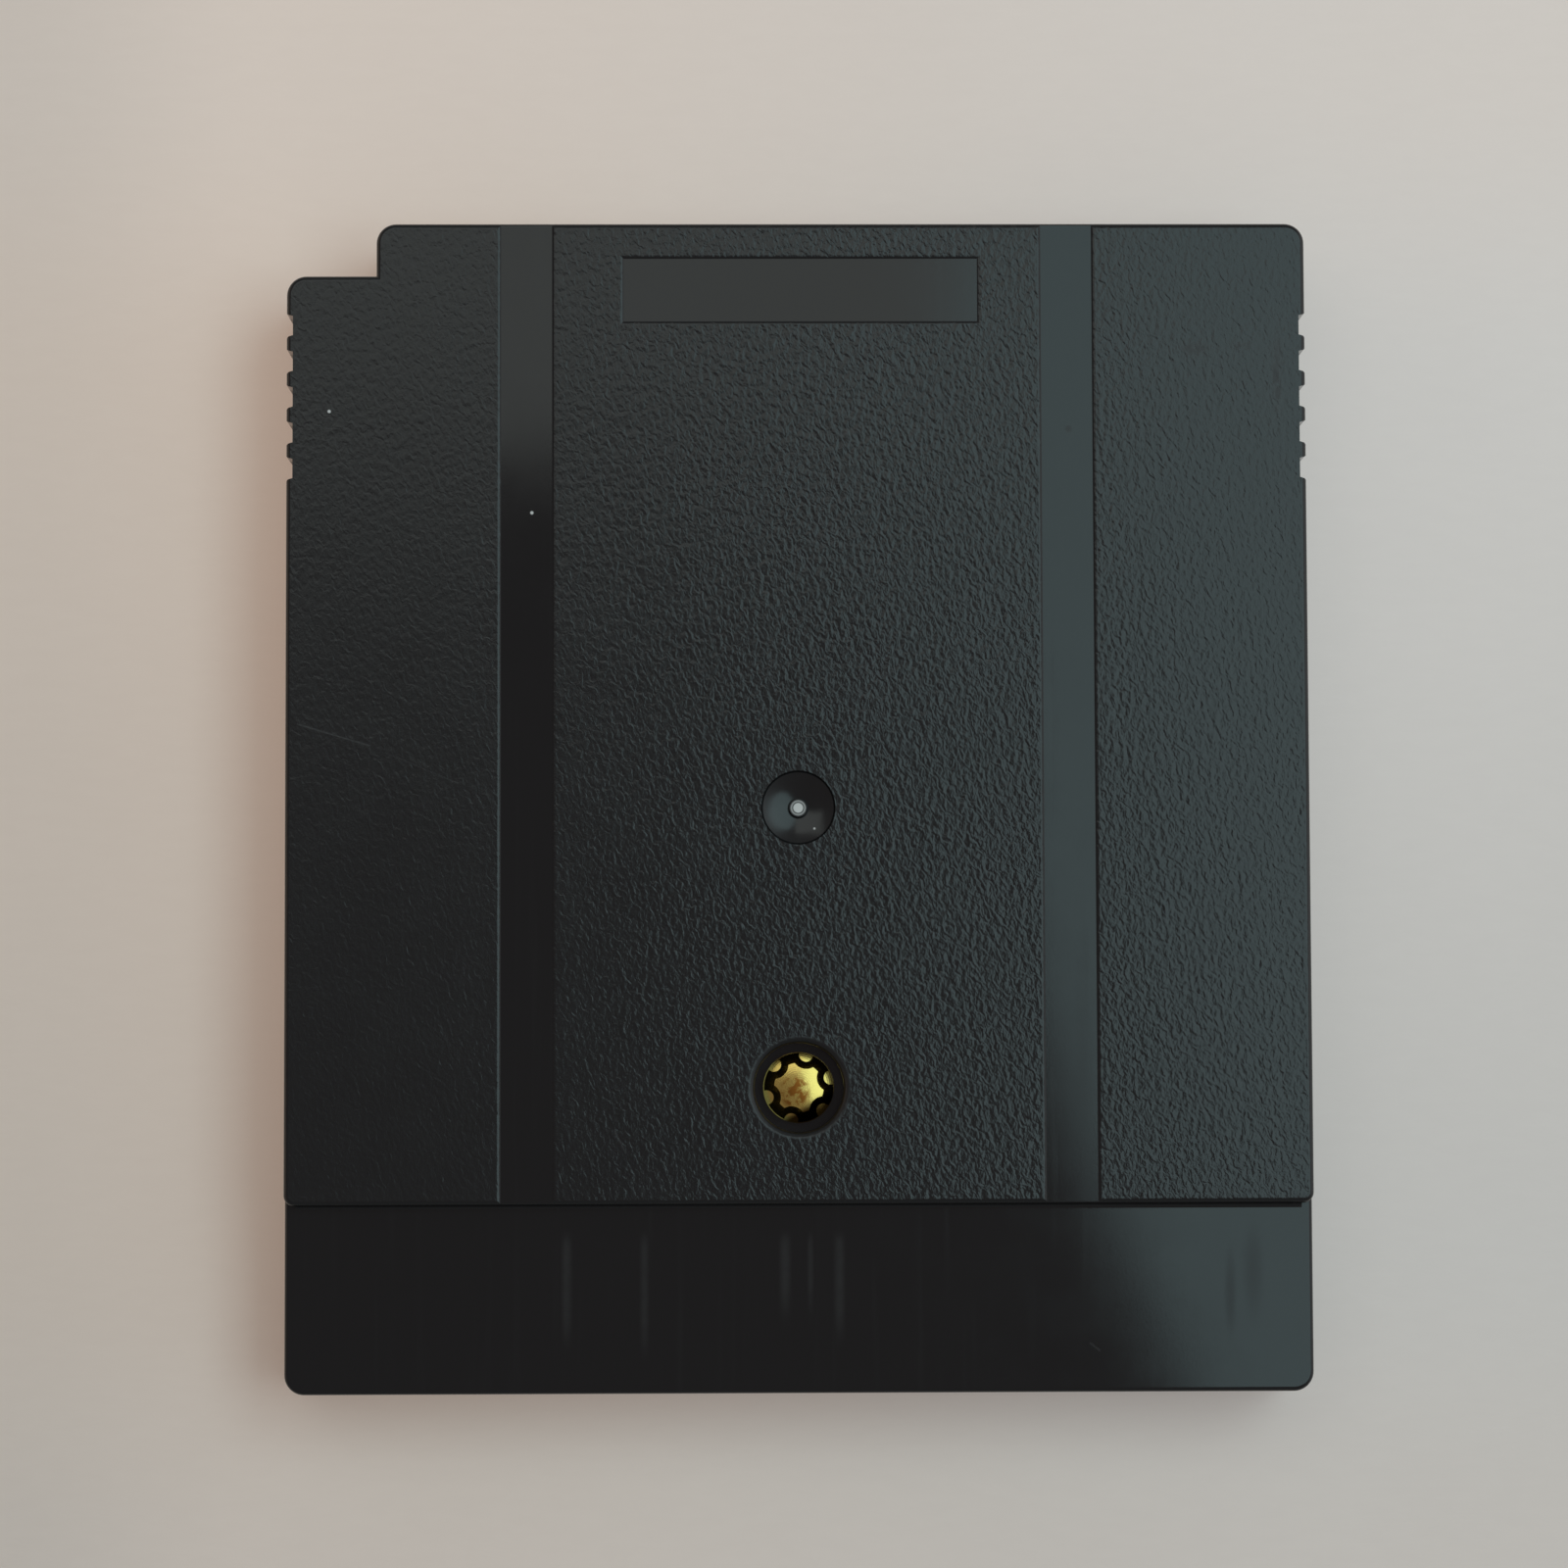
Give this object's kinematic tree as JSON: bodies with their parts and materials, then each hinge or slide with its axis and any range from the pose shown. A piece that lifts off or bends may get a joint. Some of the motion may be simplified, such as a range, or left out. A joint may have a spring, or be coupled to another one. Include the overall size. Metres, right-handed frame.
{
  "type": "game cartridge",
  "caption": "Flat black moulded game cartridge with a grained rear panel, grip teeth on both sides, a keyed corner, a sunk security screw and an edge-connector slot.",
  "frame": {"origin": "middle of the underside of the box, on the front face that it lies on", "axes": "+X across, towards the plain corner; +Y from the connector end to the grip end; +Z out of the rear face"},
  "size_m": [0.057, 0.0652, 0.0078],
  "materials": {
    "housing_plastic": "black moulded plastic, grained on the rear panel",
    "screw_plating": "yellow plating, lightly tarnished",
    "board_laminate": "green solder mask",
    "contact_gold": "gold plating",
    "chip_case": "black epoxy",
    "lead_metal": "tinned",
    "cell_steel": "satin nickel",
    "tab_metal": "satin nickel",
    "capacitor_ceramic": "tan ceramic",
    "resistor_body": "black glaze",
    "end_metal": "tinned"
  },
  "bodies": {
    "root": {"rear_shell": "housing_plastic", "front_shell": "housing_plastic", "security_screw": "screw_plating", "circuit_board": "board_laminate", "edge_contacts": "contact_gold", "rom_chip": "chip_case", "ram_chip": "chip_case", "mapper_chip": "chip_case", "reset_chip": "chip_case", "rom_leads": "lead_metal", "ram_leads": "lead_metal", "mapper_leads": "lead_metal", "reset_leads": "lead_metal", "coin_cell": "cell_steel", "cell_tab_positive": "tab_metal", "cell_tab_negative": "tab_metal", "rom_capacitor": "capacitor_ceramic", "ram_capacitor": "capacitor_ceramic", "supply_capacitor": "capacitor_ceramic", "battery_resistor": "resistor_body", "select_resistor": "resistor_body", "capacitor_ends": "end_metal", "resistor_ends": "end_metal"}
  },
  "joints": []
}
